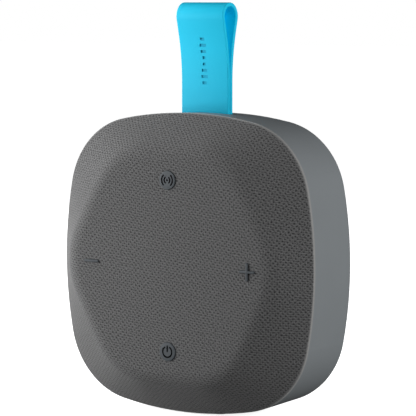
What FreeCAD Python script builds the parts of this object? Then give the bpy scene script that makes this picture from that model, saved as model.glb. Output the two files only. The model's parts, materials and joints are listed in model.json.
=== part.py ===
import FreeCAD
import Part
import math
import os

# A portable loudspeaker: a rounded-square case that stands on edge, with a fabric front
# drawn over a six-sided raised face, four keys that push through the fabric, a driver
# behind the face, a passive radiator in the back, and a doubled silicone strap on top.
#
# Row frame: X to the right seen from the front, Y to the back, Z up. The origin is on the
# floor, below the middle of the case's depth. Most features are placed by x, by d, the
# depth behind the seam between fabric and shell, and by h, the height above the case's
# centre. Millimetres throughout.

# ---- Case ----
body_half = 55.0          # half the width and half the height, at the seam
side_radius = 150.0       # bow of each of the four sides
corner_radius = 30.0
band_depth = 28.0         # seam to the back face
band_draft = 0.9          # how much smaller the outline is at the back face
back_edge_radius = 4.0
shell_wall = 2.2
back_wall = 2.6

# ---- Front face ----
dome_depth = 12.5         # seam to the flat of the raised face
face_apothem = body_half - 13.6   # centre to the middle of each of the six sides
face_corner_radius = 22.0
face_edge_radius = 10.0   # softening between the flat and the slopes
rim_wall = 0.9            # upright edge of the fabric in front of the seam
rim_roll = 0.7            # rounding of that edge
fabric_thickness = 0.6
grille_wall = 1.8
ring_points = 72          # points round each section of the face

# ---- Fits ----
slip = 0.1                # between pieces that seat in each other
running = 0.05            # round a pin or plunger that moves
air = 0.25                # round a key or door that moves in the open
weld = 0.5                # overlap of two bodies that are one moulding

# ---- Grille skirt and snap bead ----
skirt_wall = 1.8
skirt_length = 4.5
skirt_root = 1.8
bead_height = 0.5
bead_width = 0.8
bead_d = 3.0
grille_hole_radius = 1.0
grille_hole_pitch = 3.6
grille_hole_field = 21.0

# ---- Keys ----
key_radius = 3.4
key_proud = 0.4
sign_proud = 0.55
key_travel = 0.4
key_height = 31.2         # of the pair and power keys, above and below the centre
key_side = 34.3           # of the plus and minus keys, right and left of it
key_flange_radius = 4.6
key_flange = 0.7
sign_length = 6.4
sign_width = 0.85
icon_depth = 0.15
icon_line = 0.5
icon_dot = 0.42           # radius
wave_radii = (1.22, 2.36)
wave_sweep = 46.0         # degrees above and below level
power_radius = 1.98
power_ring = (124, 416)   # degrees, where the open ring starts and ends
power_bar = (-0.05, 2.35)   # its low and high end

# ---- Key board ----
plunger_radius = 1.0
plunger_proud = 0.9
plunger_depth = 0.4
switch_size = 4.6
switch_height = 1.5
key_board_thickness = 1.0
key_board_inner = 28.7
key_board_outer = 40.0
post_radius = 2.0
post_circle = 34.5
ribbon_h = 5.0
ribbon_width = 8.0
ribbon_skin = 0.3
clamp_height = 1.2        # of the ribbon's two connectors
clamp_length = 3.0

# ---- Driver ----
cone_travel = 2.0
cone_gap = 0.9            # left in front of the surround at full travel
roll_height = 2.2
roll_skin = 0.45
flange_radius = 28.5
flange_thickness = 1.4
driver_gasket_thickness = 0.6
basket_radius = 23.4
basket_wall = 1.0
basket_depth = 9.6        # under the flange
basket_foot_radius = 16.0
cone_edge_radius = 18.6
cone_skin = 0.45
coil_radius = 10.0
coil_skin = 0.25
coil_winding = 0.35
coil_length = 4.0
pole_radius = 9.5
pole_gap = 0.25           # between the winding and the top plate
top_plate_thickness = 3.0
magnet_radius = 17.0
magnet_bore = 12.0
magnet_thickness = 6.0
yoke_thickness = 2.5
driver_screw_circle = 26.6
tag_x = -20.4             # outer edge of the small board with the two solder tags
tag_length = 0.8
tag_heights = (-15, -10)
tag_board_front = 5.6     # behind the driver's seat
tag_board_back = 6.8

# ---- Mid frame ----
baffle_thickness = 1.8
frame_inset = 9.5
frame_wall = 1.6
frame_flange = 2.0
flange_d = 5.0
gasket_thickness = 1.0
gasket_width = 2.2
ledge_thickness = 2.0
ledge_width = 2.4
boss_radius = 3.5
boss_x = body_half - 17.0
boss_h = body_half - 21.0
boss_end_d = 11.9

# ---- Passive radiator and rear grille ----
radiator_travel = 2.0
radiator_gap = 0.7
radiator_plate_radius = 13.5
radiator_plate_thickness = 1.5
radiator_roll_height = 2.2
radiator_seat_radius = 20.5
radiator_frame_radius = 25.5
radiator_frame_thickness = 1.6
radiator_screw_circle = 23.6
radiator_seat_inner = 21.5
rear_grille_radius = 28.0
rear_grille_thickness = 1.6
rear_opening_radius = 22.0
slot_width = 2.2
slot_pitch = 4.6

# ---- Feet ----
foot_length = 26.0
foot_depth = 16.0
foot_recess = 1.0
foot_corner = 4.0
foot_proud = 0.5
foot_d = 12.0
pad_radius = 5.0
pad_recess = 0.9
pad_proud = 0.6

# ---- Strap ----
strap_width = 20.7
strap_skin = 1.5
strap_slit = 0.1
strap_height = 40.0       # above the case
loop_radius = 4.35        # of the middle of the band, at the top of the loop
loop_lean = 14.0          # degrees, of the sides under the loop
loop_sweep = 78.0         # radius that brings the two layers together
strap_d = 12.7
strap_lift = 0.25         # clearance under the strap when it lies flat
slot_air = 0.35
slot_corner = 0.6
eye_pin_radius = 1.2
housing_wall = 1.4
housing_depth = 12.4       # from the top of the case down to the housing's floor

# ---- Charging port ----
port_d = 11.4
door_length = 20.0
door_width = 10.0
door_thickness = 1.5
knuckle_radius = 0.95
door_pin_radius = 0.4
socket_width = 8.94
socket_height = 3.26
socket_length = 7.3
socket_skin = 0.3
socket_setback = 1.2      # mouth of the socket behind the floor of the recess
seal_depth = 1.0
seal_lip = 0.3            # how much larger the plug is than the socket
window_room = 1.5         # the same for the opening in the case
window_reach = 8.0        # length of that opening's cutter
port_box_wall = 2.6
tongue_half = 0.35        # half the thickness of the socket's tongue
tongue_reach = 3.3        # half its width
lift_radius = 1.6         # finger groove under the door's end

# ---- Main board and battery ----
board_thickness = 1.2
board_right = -21.0
board_left = 7.0 - body_half
board_bottom = -22.0
board_top = 24.0
board_post_radius = 2.3
capacitor_radius = 2.5
capacitor_height = 5.0
plug_height = 3.4         # of the lead connectors, in front of the board
cell_radius = 9.1
cell_length = 65.0
cell_gap = 0.2
cell_clear = 1.0
lead_radius = 0.6

# ---- Screws ----
case_screw = (1.0, 2.3, 1.8)      # shank radius, head radius, head height
small_screw = (0.8, 1.7, 1.1)
pilot_slip = 0.03
hole_slip = 0.3

# ---- Places that follow from the sizes ----
centre_z = body_half + foot_proud
depth_total = sign_proud + dome_depth + band_depth + pad_proud
seam_y = dome_depth + sign_proud - depth_total / 2
face_slope = math.atan2(dome_depth - rim_wall, body_half - face_apothem)
side_centre = side_radius - body_half
corner_centre = (math.sqrt(2 * (side_radius - corner_radius) ** 2 - side_centre ** 2)
                 - side_centre) / 2
side_angle = math.atan2(corner_centre, corner_centre + side_centre)

grille_outer_d = fabric_thickness - dome_depth
grille_inner_d = grille_outer_d + grille_wall
key_flange_d = grille_inner_d + slip
plunger_top_d = key_flange_d + key_flange
switch_top_d = plunger_top_d + plunger_proud
key_board_d = switch_top_d + switch_height
key_board_back_d = key_board_d + key_board_thickness

driver_d = grille_inner_d + cone_gap + cone_travel + roll_height
driver_seat_d = driver_d + flange_thickness
baffle_d = driver_seat_d + driver_gasket_thickness
basket_foot_d = driver_seat_d + basket_depth
magnet_d = basket_foot_d + top_plate_thickness
yoke_d = magnet_d + magnet_thickness
driver_end_d = yoke_d + yoke_thickness

back_inner_d = band_depth - back_wall
radiator_back_d = back_inner_d - radiator_gap - radiator_travel
radiator_front_d = radiator_back_d - radiator_plate_thickness
radiator_seat_d = radiator_back_d + 0.3
ledge_d = flange_d + frame_flange + gasket_thickness

board_d = port_d + socket_height / 2
board_back_d = board_d + board_thickness
strap_half = strap_skin + strap_slit / 2
cell_d = back_inner_d - cell_gap - cell_radius
ribbon_x = key_board_outer + 1.5
clamp_end_x = ribbon_skin + clamp_length - ribbon_x


# ---- Shapes shared by the pieces ----
def at(x, d, h):
    """A point given by x, the depth behind the seam and the height above the centre."""
    return FreeCAD.Vector(x, seam_y + d, centre_z + h)


BACK = FreeCAD.Vector(0, 1, 0)
RIGHT = FreeCAD.Vector(1, 0, 0)
UP = FreeCAD.Vector(0, 0, 1)


def rod(x, h, d0, d1, radius):
    return Part.makeCylinder(radius, d1 - d0, at(x, d0, h), BACK)


def tube(x, h, d0, d1, outer, inner):
    return rod(x, h, d0, d1, outer).cut(rod(x, h, d0, d1, inner))


def rod_along_x(x0, x1, d, h, radius):
    return Part.makeCylinder(radius, x1 - x0, at(x0, d, h), RIGHT)


def block(x0, x1, d0, d1, h0, h1):
    return Part.makeBox(x1 - x0, d1 - d0, h1 - h0, at(x0, d0, h0))


def join(first, *others):
    return first.fuse(list(others)).removeSplitter()


def turned(points):
    """A closed (radius, d) polygon turned about the axis of the driver."""
    corners = [at(r, d, 0) for r, d in points]
    face = Part.Face(Part.makePolygon(corners + corners[:1]))
    return face.revolve(at(0, 0, 0), BACK, 360)


def half_roll(r0, r1, d, height, skin):
    """A half-round surround between two radii, bulging to the front, with flat lips."""
    middle, half = (r0 + r1) / 2, (r1 - r0) / 2
    lift = height - skin

    def arc(reach, rise, base):
        return Part.Arc(at(middle - reach, base, 0), at(middle, base - rise, 0),
                        at(middle + reach, base, 0)).toShape()

    inner = arc(half - skin, lift, d)
    outer = arc(half, lift + skin, d)
    foot = [Part.makeLine(at(r0, d, 0), at(r0 + skin, d, 0)),
            Part.makeLine(at(r1 - skin, d, 0), at(r1, d, 0))]
    return Part.Face(Part.Wire(Part.__sortEdges__([outer, inner] + foot))).revolve(
        at(0, 0, 0), BACK, 360)


def around(count, radius, start=0.0):
    """(x, h) of points evenly spaced on a circle about the centre."""
    turn = 2 * math.pi / count
    return [(radius * math.cos(start + turn * i), radius * math.sin(start + turn * i))
            for i in range(count)]


def corners(x, h):
    return [(sx * x, sh * h) for sx in (-1, 1) for sh in (-1, 1)]


# ---- The rounded-square outline ----
def outline(inset, d):
    """The case's outline, moved inwards by inset: four side arcs and four corner arcs."""
    edges = []
    for quarter in range(4):
        turn = quarter * math.pi / 2

        def place(cx, ch, radius, angle, turn=turn):
            x, h = cx + radius * math.cos(angle), ch + radius * math.sin(angle)
            return at(x * math.cos(turn) - h * math.sin(turn), d,
                      x * math.sin(turn) + h * math.cos(turn))

        side = [place(-side_centre, 0, side_radius - inset, a)
                for a in (-side_angle, 0, side_angle)]
        bend = [place(corner_centre, corner_centre, corner_radius - inset, a)
                for a in (side_angle, math.pi / 4, math.pi / 2 - side_angle)]
        edges += [Part.Arc(*side).toShape(), Part.Arc(*bend).toShape()]
    return Part.Wire(Part.__sortEdges__(edges))


def slab(inset, d0, d1):
    return Part.Face(outline(inset, d0)).extrude(BACK * (d1 - d0))


def ring(outer, inner, d0, d1):
    return slab(outer, d0, d1).cut(slab(inner, d0 - 1, d1 + 1))


def draft(d):
    """How far the draft has brought the case's side inwards at that depth."""
    return band_draft * d / band_depth


def tapered(inset, d0, d1):
    """A plug of the case's outline that follows its draft."""
    ends = [outline(inset + draft(d), d) for d in (d0, d1)]
    return Part.makeLoft(ends, True, True)


def side_reach(h, d, inset=0.0):
    """How far from the centre plane the left or right side lies at that height."""
    inset += draft(d)
    return math.sqrt((side_radius - inset) ** 2 - h * h) - side_centre


# ---- The raised six-sided face ----
def outline_reach(angle, inset):
    """Distance from the centre to the outline in that direction."""
    fold = angle % (math.pi / 2)
    fold = min(fold, math.pi / 2 - fold)
    bend = corner_radius - inset
    joint = math.atan2(corner_centre + bend * math.sin(side_angle),
                       corner_centre + bend * math.cos(side_angle))
    if fold <= joint:
        radius = side_radius - inset
        return (math.sqrt(radius ** 2 - (side_centre * math.sin(fold)) ** 2)
                - side_centre * math.cos(fold))
    along = corner_centre * (math.cos(fold) + math.sin(fold))
    across = corner_centre * (math.cos(fold) - math.sin(fold))
    return along + math.sqrt(bend ** 2 - across ** 2)


def face_reach(angle, inset):
    """Distance from the centre to the edge of the six-sided face in that direction."""
    sixth = math.pi / 3
    off = abs((angle % sixth) - sixth / 2)
    apothem, bend = face_apothem - inset, face_corner_radius - inset
    straight = (apothem - bend) * math.tan(sixth / 2)
    if math.tan(off) * apothem <= straight:
        return apothem / math.cos(off)
    centre = (apothem - bend) / math.cos(sixth / 2)
    away = sixth / 2 - off
    return centre * math.cos(away) + math.sqrt(bend ** 2 - (centre * math.sin(away)) ** 2)


def section(angle, inset, tail):
    """(reach, d) from the flat of the face down one slope, round the rim and back to tail."""
    top = inset - dome_depth
    rim_d = inset * math.tan(math.pi / 4 - face_slope / 2) - rim_wall
    start = face_reach(angle, inset * math.tan(face_slope / 2))
    end = outline_reach(angle, inset)
    slope = math.atan2(rim_d - top, end - start)
    soft = face_edge_radius - inset
    points = []
    for share in (0, 1 / 3, 2 / 3, 1):
        turn = slope * share
        points.append((start - soft * math.tan(slope / 2) + soft * math.sin(turn),
                       top + soft * (1 - math.cos(turn))))
    roll = rim_roll - inset
    if roll > 0:
        drop = roll * math.tan((math.pi / 2 - slope) / 2)
        for share in (0, 1 / 2, 1):
            turn = slope + (math.pi / 2 - slope) * share
            points.append((end - roll + roll * math.sin(turn),
                           rim_d + drop - roll * math.cos(turn)))
    else:
        points.append((end, rim_d))
    return points + [(end, tail)]


def face_solid(inset, tail=0.0):
    """The raised face as a solid, set inwards by inset and closed at d = tail."""
    angles = [2 * math.pi * i / ring_points for i in range(ring_points)]
    sections = [section(a, inset, tail) for a in angles]
    wires = []
    for level in range(len(sections[0])):
        curve = Part.BSplineCurve()
        curve.interpolate(Points=[at(s[level][0] * math.cos(a), s[level][1],
                                     s[level][0] * math.sin(a))
                                  for a, s in zip(angles, sections)], PeriodicFlag=True)
        wires.append(Part.Wire([curve.toShape()]))
    return Part.makeLoft(wires, True, True)


# ---- Keys ----
def arc_bar(radius, width, start, end, d0, d1):
    """A bar bent round the axis from one angle to another, in degrees, about x = h = 0."""
    def spot(r, degrees):
        return at(r * math.cos(math.radians(degrees)), d0, r * math.sin(math.radians(degrees)))

    middle = (start + end) / 2
    outer, inner = radius + width / 2, radius - width / 2
    edges = [Part.Arc(spot(outer, start), spot(outer, middle), spot(outer, end)).toShape(),
             Part.makeLine(spot(outer, end), spot(inner, end)),
             Part.Arc(spot(inner, end), spot(inner, middle), spot(inner, start)).toShape(),
             Part.makeLine(spot(inner, start), spot(outer, start))]
    return Part.Face(Part.Wire(edges)).extrude(BACK * (d1 - d0))


def pair_icon(d0, d1):
    """Broadcast waves: a dot between two pairs of arcs."""
    arcs = [arc_bar(r, icon_line, side - wave_sweep, side + wave_sweep, d0, d1)
            for r in wave_radii for side in (0, 180)]
    return [rod(0, 0, d0, d1, icon_dot)] + arcs


def power_icon(d0, d1):
    """A ring open at the top with an upright bar in the gap."""
    bar = block(-icon_line / 2, icon_line / 2, d0, d1, *power_bar)
    return [arc_bar(power_radius, icon_line, *power_ring, d0, d1), bar]


def sign_bars(grow, d0, d1, upright):
    """The plus or minus sign: one level bar, and an upright one in the plus."""
    half, wide = sign_length / 2 + grow, sign_width / 2 + grow
    bars = [block(-half, half, d0, d1, -wide, wide)]
    if upright:
        bars.append(block(-wide, wide, d0, d1, -half, half))
    return bars[0] if len(bars) == 1 else join(*bars)


def key_base():
    """The flange that keeps a key behind the grille."""
    return rod(0, 0, key_flange_d, plunger_top_d, key_flange_radius)


def round_key(icon):
    top = -dome_depth - key_proud
    cap = join(rod(0, 0, top, key_flange_d, key_radius), key_base())
    for cut in icon(top - 1, top + icon_depth):
        cap = cap.cut(cut)
    return cap


def sign_key(upright):
    top = -dome_depth - sign_proud
    return join(sign_bars(0, top, key_flange_d, upright), key_base())


def moved(shape, x, h):
    copy = shape.copy()
    copy.translate(FreeCAD.Vector(x, 0, h))
    return copy


KEYS = {
    "pair": (0, key_height, round_key(pair_icon)),
    "power": (0, -key_height, round_key(power_icon)),
    "plus": (key_side, 0, sign_key(True)),
    "minus": (-key_side, 0, sign_key(False)),
}


def key_windows(d0, d1):
    """Openings for the four keys, through the fabric or the grille."""
    disc = rod(0, 0, d0, d1, key_radius + air)
    return [moved(disc, 0, key_height), moved(disc, 0, -key_height),
            moved(sign_bars(air, d0, d1, True), key_side, 0),
            moved(sign_bars(air, d0, d1, False), -key_side, 0)]


# ---- Front: fabric and grille ----
def fabric_cover():
    skin = face_solid(0).cut(face_solid(fabric_thickness, tail=2.0))
    return skin.cut(Part.makeCompound(key_windows(-dome_depth - 1, grille_outer_d + 1)))


def grille_holes():
    """Sound holes in a triangular pattern over the driver, clear of the keys."""
    holes = []
    rows = int(grille_hole_field / grille_hole_pitch) + 1
    for row in range(-rows, rows + 1):
        for column in range(-rows, rows + 1):
            x = (column + (row % 2) / 2) * grille_hole_pitch
            h = row * grille_hole_pitch * math.sqrt(3) / 2
            if math.hypot(x, h) < grille_hole_field:
                holes.append(rod(x, h, grille_outer_d - 1, grille_inner_d + 1,
                                 grille_hole_radius))
    return holes


def grille_frame():
    skirt_inset = shell_wall + draft(skirt_length) + slip
    skirt_inner = skirt_inset + skirt_wall
    root = ring(-1.0, skirt_inner, -skirt_root, skirt_root)
    hollow = face_solid(fabric_thickness + grille_wall, tail=2.0).cut(root)
    frame = face_solid(fabric_thickness).cut(hollow)
    skirt = ring(skirt_inset, skirt_inner, -skirt_root / 2, skirt_length)
    bead = ring(skirt_inset - bead_height, skirt_inner, bead_d - bead_width / 2,
                bead_d + bead_width / 2)
    frame = join(frame, skirt, bead)
    cuts = key_windows(grille_outer_d - 1, grille_inner_d + 1) + grille_holes()
    return frame.cut(Part.makeCompound(cuts))


# ---- Rear shell ----
def strap_slot(h0, h1):
    """The slot in the top of the case, with rounded corners, along X."""
    half_gap = strap_half + slot_air
    half_run = strap_width / 2 + slot_air
    bar = block(-half_run, half_run, strap_d - half_gap, strap_d + half_gap, h0, h1)
    upright = [e for e in bar.Edges if abs(e.tangentAt(e.FirstParameter).z) > 0.9]
    return bar.makeFillet(slot_corner, upright)


def foot_shape(grow, h0, h1):
    """The foot's rounded-end bar under the case."""
    half_depth = foot_depth / 2 + grow
    bar = block(-foot_length / 2 - grow, foot_length / 2 + grow, foot_d - half_depth,
                foot_d + half_depth, h0, h1)
    upright = [e for e in bar.Edges if abs(e.tangentAt(e.FirstParameter).z) > 0.9]
    return bar.makeFillet(foot_corner + grow, upright)


def door_outline(grow, x0, x1):
    """The door's outline, straight at the top and round at the bottom, along X."""
    half = door_width / 2 + grow
    axis_h = door_length / 2 - knuckle_radius
    low = -door_length / 2 - grow + half
    straight = block(x0, x1, port_d - half, port_d + half, low, axis_h)
    return join(straight, Part.makeCylinder(half, x1 - x0, at(x0, port_d, low), RIGHT))


door_axis_h = door_length / 2 - knuckle_radius
door_axis_x = knuckle_radius - side_reach(door_axis_h, port_d)
recess_floor_x = door_thickness + slip - side_reach(0, port_d)


def round_slot_x(width_h, width_d, x0, x1):
    """A slot with round ends, longer in height, running along X at the port."""
    reach = (width_h - width_d) / 2
    ends = [Part.makeCylinder(width_d / 2, x1 - x0, at(x0, port_d, h), RIGHT)
            for h in (-reach, reach)]
    return join(block(x0, x1, port_d - width_d / 2, port_d + width_d / 2, -reach, reach),
                *ends)


def port_recess():
    """What the door's recess takes out of the left side."""
    out_x = -body_half - 5
    well = door_outline(air, out_x, recess_floor_x)
    half = door_width / 2 + air
    groove = Part.makeCylinder(knuckle_radius + slip, 2 * half,
                               at(door_axis_x, port_d - half, door_axis_h), BACK)
    mouth = block(out_x, door_axis_x, port_d - half, port_d + half, door_axis_h - 1,
                  door_axis_h + knuckle_radius + slip + air)
    window = round_slot_x(socket_width + window_room, socket_height + window_room,
                          recess_floor_x - 1, recess_floor_x + window_reach)
    pin = Part.makeCylinder(door_pin_radius, door_width + 4,
                            at(door_axis_x, port_d - door_width / 2 - 2, door_axis_h), BACK)
    return [well, groove, mouth, window, pin]


def shell_boss(x, h):
    """A tube from the back wall for one case screw."""
    return rod(x, h, boss_end_d + slip, back_inner_d + weld, boss_radius)


def case_screw_holes():
    shank, head, _ = case_screw
    holes = []
    for x, h in corners(boss_x, boss_h):
        holes.append(rod(x, h, boss_end_d - 1, band_depth + 1, shank + hole_slip))
        holes.append(rod(x, h, back_inner_d - 5, band_depth + 1, head + hole_slip))
    return holes


BOARD_POSTS = [(board_left + 5, board_top - 4), (board_right - 3, board_top - 2),
               (board_left + 5, board_bottom + 4)]


def back_slots(d0, d1):
    """Concentric arc slots of the rear grille, in three groups per ring."""
    slots = [rod(0, 0, d0, d1, slot_width)]
    for step in range(1, 5):
        radius = step * slot_pitch
        gap = math.degrees(slot_pitch * 0.8 / radius) / 2
        for third in range(3):
            start = 90 + 120 * third + gap
            slots.append(arc_bar(radius, slot_width, start, start + 120 - 2 * gap, d0, d1))
    return slots


def rear_shell():
    body = tapered(0, 0, band_depth)
    rear = [e for f in body.Faces if abs(f.CenterOfMass.y - seam_y - band_depth) < 1e-6
            for e in f.Edges]
    body = body.makeFillet(back_edge_radius, rear)
    body = body.cut(tapered(shell_wall, -1, back_inner_d))
    ledge = ring(shell_wall - weld, shell_wall + ledge_width, ledge_d,
                 ledge_d + ledge_thickness)
    ledge = ledge.cut(housing_block(slip))
    seat = tube(0, 0, radiator_seat_d, back_inner_d + weld, radiator_frame_radius,
                radiator_seat_inner)
    port_box = block(recess_floor_x - weld, recess_floor_x + port_box_wall, ledge_d,
                     port_d + door_width / 2, 1 - door_length / 2, 1 + door_length / 2)
    port_box = port_box.common(tapered(shell_wall / 2, 0, band_depth))
    posts = [rod(x, h, board_back_d, back_inner_d + weld, board_post_radius)
             for x, h in BOARD_POSTS]
    bosses = [shell_boss(x, h) for x, h in corners(boss_x, boss_h)]
    body = join(body, ledge, seat, port_box, *posts, *bosses)
    cuts = case_screw_holes() + port_recess()
    cuts.append(ring(shell_wall - bead_height - slip, shell_wall + 1,
                     bead_d - bead_width / 2 - slip, bead_d + bead_width / 2 + slip))
    cuts.append(strap_slot(body_half - shell_wall - 6, body_half + 2))
    cuts.append(foot_shape(slip, -body_half - 2, -body_half + foot_recess))
    cuts += [rod(x, h, band_depth - pad_recess, band_depth + 1, pad_radius + slip)
             for x, h in corners(boss_x, boss_h)]
    cuts.append(rod(0, 0, band_depth - rear_grille_thickness, band_depth + 1,
                    rear_grille_radius + slip))
    cuts.append(rod(0, 0, back_inner_d - 1, band_depth + 1, rear_opening_radius))
    cuts += [rod(x, h, board_back_d - 1, back_inner_d - 2, small_screw[0] + pilot_slip)
             for x, h in BOARD_POSTS]
    cuts += [rod(x, h, radiator_seat_d - 1, back_inner_d, small_screw[0] + pilot_slip)
             for x, h in around(4, radiator_screw_circle, math.pi / 4)]
    for cut in cuts:
        body = body.cut(cut)
    return body


def rear_grille():
    plate = rod(0, 0, band_depth - rear_grille_thickness, band_depth, rear_grille_radius)
    edge = [e for e in plate.Edges if abs(e.CenterOfMass.y - seam_y - band_depth) < 1e-6
            and e.Length > rear_grille_radius]
    plate = plate.makeFillet(0.4, edge)
    for slot in back_slots(band_depth - rear_grille_thickness - 1, band_depth + 1):
        plate = plate.cut(slot)
    return plate


# ---- Mid frame and its seal ----
def mid_frame():
    plate = slab(frame_inset, baffle_d, baffle_d + baffle_thickness)
    lip_back_d = flange_d + frame_flange
    wall = ring(frame_inset, frame_inset + frame_wall, baffle_d, lip_back_d)
    lip = ring(shell_wall + draft(lip_back_d) + slip, frame_inset + frame_wall, flange_d,
               lip_back_d)
    bosses = [rod(x, h, flange_d, boss_end_d, boss_radius)
              for x, h in corners(boss_x, boss_h)]
    posts = [rod(x, h, key_board_back_d, baffle_d + 0.5, post_radius)
             for x, h in around(4, post_circle, math.pi / 4)]
    frame = join(plate, wall, lip, *bosses, *posts)
    cuts = [rod(0, 0, baffle_d - 1, baffle_d + 5, basket_radius + basket_wall + air)]
    cuts += [rod(x, h, boss_end_d - 8, boss_end_d + 1, case_screw[0] + pilot_slip)
             for x, h in corners(boss_x, boss_h)]
    cuts += [rod(x, h, key_board_back_d - 1, baffle_d + 1, small_screw[0] + pilot_slip)
             for x, h in around(4, post_circle, math.pi / 4)]
    cuts += [rod(x, h, baffle_d - 1, baffle_d + 3, small_screw[0] + pilot_slip)
             for x, h in around(4, driver_screw_circle, math.pi / 4)]
    cuts.append(block(-ribbon_x - 0.6, -ribbon_x + 0.9, baffle_d - 1, baffle_d + 3,
                      ribbon_h - ribbon_width / 2 - 1, ribbon_h + ribbon_width / 2 + 1))
    for cut in cuts:
        frame = frame.cut(cut)
    return frame


def case_gasket():
    return ring(shell_wall + draft(ledge_d) + slip, shell_wall + gasket_width,
                flange_d + frame_flange, ledge_d)


# ---- Key board ----
def key_board():
    board = tube(0, 0, key_board_d, key_board_back_d, key_board_outer, key_board_inner)
    tab = block(-ribbon_x - 1, -key_board_inner - 3, key_board_d, key_board_back_d,
                ribbon_h - 6, ribbon_h + 6)
    board = join(board, tab)
    for x, h in around(4, post_circle, math.pi / 4):
        board = board.cut(rod(x, h, key_board_d - 1, key_board_back_d + 1,
                              small_screw[0] + hole_slip))
    return board


def switch_body():
    half = switch_size / 2
    body = block(-half, half, switch_top_d, key_board_d, -half, half)
    well_d = switch_top_d + plunger_depth + key_travel + running
    return body.cut(rod(0, 0, switch_top_d - 1, well_d, plunger_radius + running))


def plunger():
    return rod(0, 0, plunger_top_d, switch_top_d + plunger_depth, plunger_radius)


# x, h, width, height and thickness of each chip: a microphone, two lamps, four resistors
KEY_BOARD_CHIPS = [(22, 27.5, 3.8, 2.9, 1.1), (-22, 27.5, 1.6, 0.8, 0.7),
                   (-16.5, 30.5, 1.6, 0.8, 0.7), (32.5, 8, 1.2, 2.0, 0.6),
                   (33.5, -8, 1.2, 2.0, 0.6), (-33.5, -8, 1.2, 2.0, 0.6),
                   (-9, -33, 2.0, 1.2, 0.6)]


def key_board_parts():
    """A microphone, two status lamps, four resistors and the ribbon's connector."""
    parts = [block(x - w / 2, x + w / 2, key_board_d - tall, key_board_d, h - v / 2,
                   h + v / 2) for x, h, w, v, tall in KEY_BOARD_CHIPS]
    clamp = block(-ribbon_x + ribbon_skin, clamp_end_x, key_board_back_d,
                  key_board_back_d + clamp_height, ribbon_h - ribbon_width / 2,
                  ribbon_h + ribbon_width / 2)
    return parts + [clamp]


def ribbon_cable():
    return block(-ribbon_x, -ribbon_x + ribbon_skin, key_board_back_d, board_d - 0.4,
                 ribbon_h - ribbon_width / 2, ribbon_h + ribbon_width / 2)


# ---- Screws ----
def screw(x, h, head_d, length, sizes, to_front=False):
    """A pan-head screw: its head's seat is at head_d and its shank runs away from the head."""
    shank, head, tall = sizes
    if to_front:
        body = join(rod(x, h, head_d, head_d + tall, head), rod(x, h, head_d - length,
                                                                head_d + 0.1, shank))
        top, deep = head_d + tall, -0.5 * tall
    else:
        body = join(rod(x, h, head_d - tall, head_d, head), rod(x, h, head_d - 0.1,
                                                                head_d + length, shank))
        top, deep = head_d - tall, 0.5 * tall
    low, high = sorted((top - math.copysign(1, deep), top + deep))
    half, wide = head * 0.6, head * 0.16
    cross = join(block(x - half, x + half, low, high, h - wide, h + wide),
                 block(x - wide, x + wide, low, high, h - half, h + half))
    return body.cut(cross)


def case_screws():
    return [screw(x, h, back_inner_d - 5, back_inner_d - 5 - boss_end_d + 6, case_screw, True)
            for x, h in corners(boss_x, boss_h)]


def key_board_screws():
    return [screw(x, h, key_board_d, baffle_d - key_board_d + 0.5, small_screw)
            for x, h in around(4, post_circle, math.pi / 4)]


def driver_screws():
    return [screw(x, h, driver_d, baffle_d - driver_d + baffle_thickness, small_screw)
            for x, h in around(4, driver_screw_circle, math.pi / 4)]


def board_screws():
    return [screw(x, h, board_d, board_thickness + 5, small_screw) for x, h in BOARD_POSTS]


def radiator_screws():
    return [screw(x, h, radiator_seat_d - radiator_frame_thickness,
                  radiator_frame_thickness + 1.2, small_screw)
            for x, h in around(4, radiator_screw_circle, math.pi / 4)]


# ---- Driver ----
def driver_frame():
    """A pressed steel basket with six windows."""
    seat, foot = driver_seat_d, basket_foot_d
    profile = [(flange_radius, driver_d), (flange_radius, seat), (basket_radius + 0.8, seat),
               (basket_foot_radius + 0.8, foot - basket_wall), (basket_foot_radius, foot),
               (coil_radius + 1.5, foot), (coil_radius + 1.5, foot - basket_wall),
               (basket_foot_radius - 0.4, foot - basket_wall),
               (basket_radius - 0.4, seat - basket_wall / 2), (basket_radius - 0.4, driver_d)]
    basket = turned(profile)
    for x, h in around(6, (basket_radius + basket_foot_radius) / 2):
        basket = basket.cut(rod_toward(x, h, seat + 3.6, 2.9))
    for x, h in around(4, driver_screw_circle, math.pi / 4):
        basket = basket.cut(rod(x, h, driver_d - 1, seat + 1, small_screw[0] + hole_slip))
    return basket


def rod_toward(x, h, d, radius):
    """A short radial cutter through the basket's wall."""
    out = FreeCAD.Vector(x, 0, h)
    out.normalize()
    return Part.makeCylinder(radius, 8, at(x, d, h) - out * 4, out)


def driver_gasket():
    outer = tube(0, 0, driver_seat_d, baffle_d, flange_radius, basket_radius + basket_wall
                 + air)
    for x, h in around(4, driver_screw_circle, math.pi / 4):
        outer = outer.cut(rod(x, h, driver_seat_d - 1, baffle_d + 1, small_screw[0] + hole_slip))
    return outer


def top_plate():
    return tube(0, 0, basket_foot_d, magnet_d, basket_foot_radius,
                coil_radius + coil_winding + pole_gap)


def driver_yoke():
    pole = rod(0, 0, basket_foot_d, driver_end_d, pole_radius)
    return join(pole, rod(0, 0, yoke_d, driver_end_d, basket_foot_radius)).cut(
        rod(0, 0, basket_foot_d - 1, driver_end_d + 1, 2.5))


neck_d = driver_d + 6.6


def voice_coil():
    """A thin former with its winding in the gap."""
    gap_middle = basket_foot_d + top_plate_thickness / 2
    former = tube(0, 0, neck_d, gap_middle + coil_length / 2, coil_radius,
                  coil_radius - coil_skin)
    winding = tube(0, 0, gap_middle - coil_length / 2, gap_middle + coil_length / 2,
                   coil_radius + coil_winding, coil_radius - coil_skin / 2)
    return join(former, winding)


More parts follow.
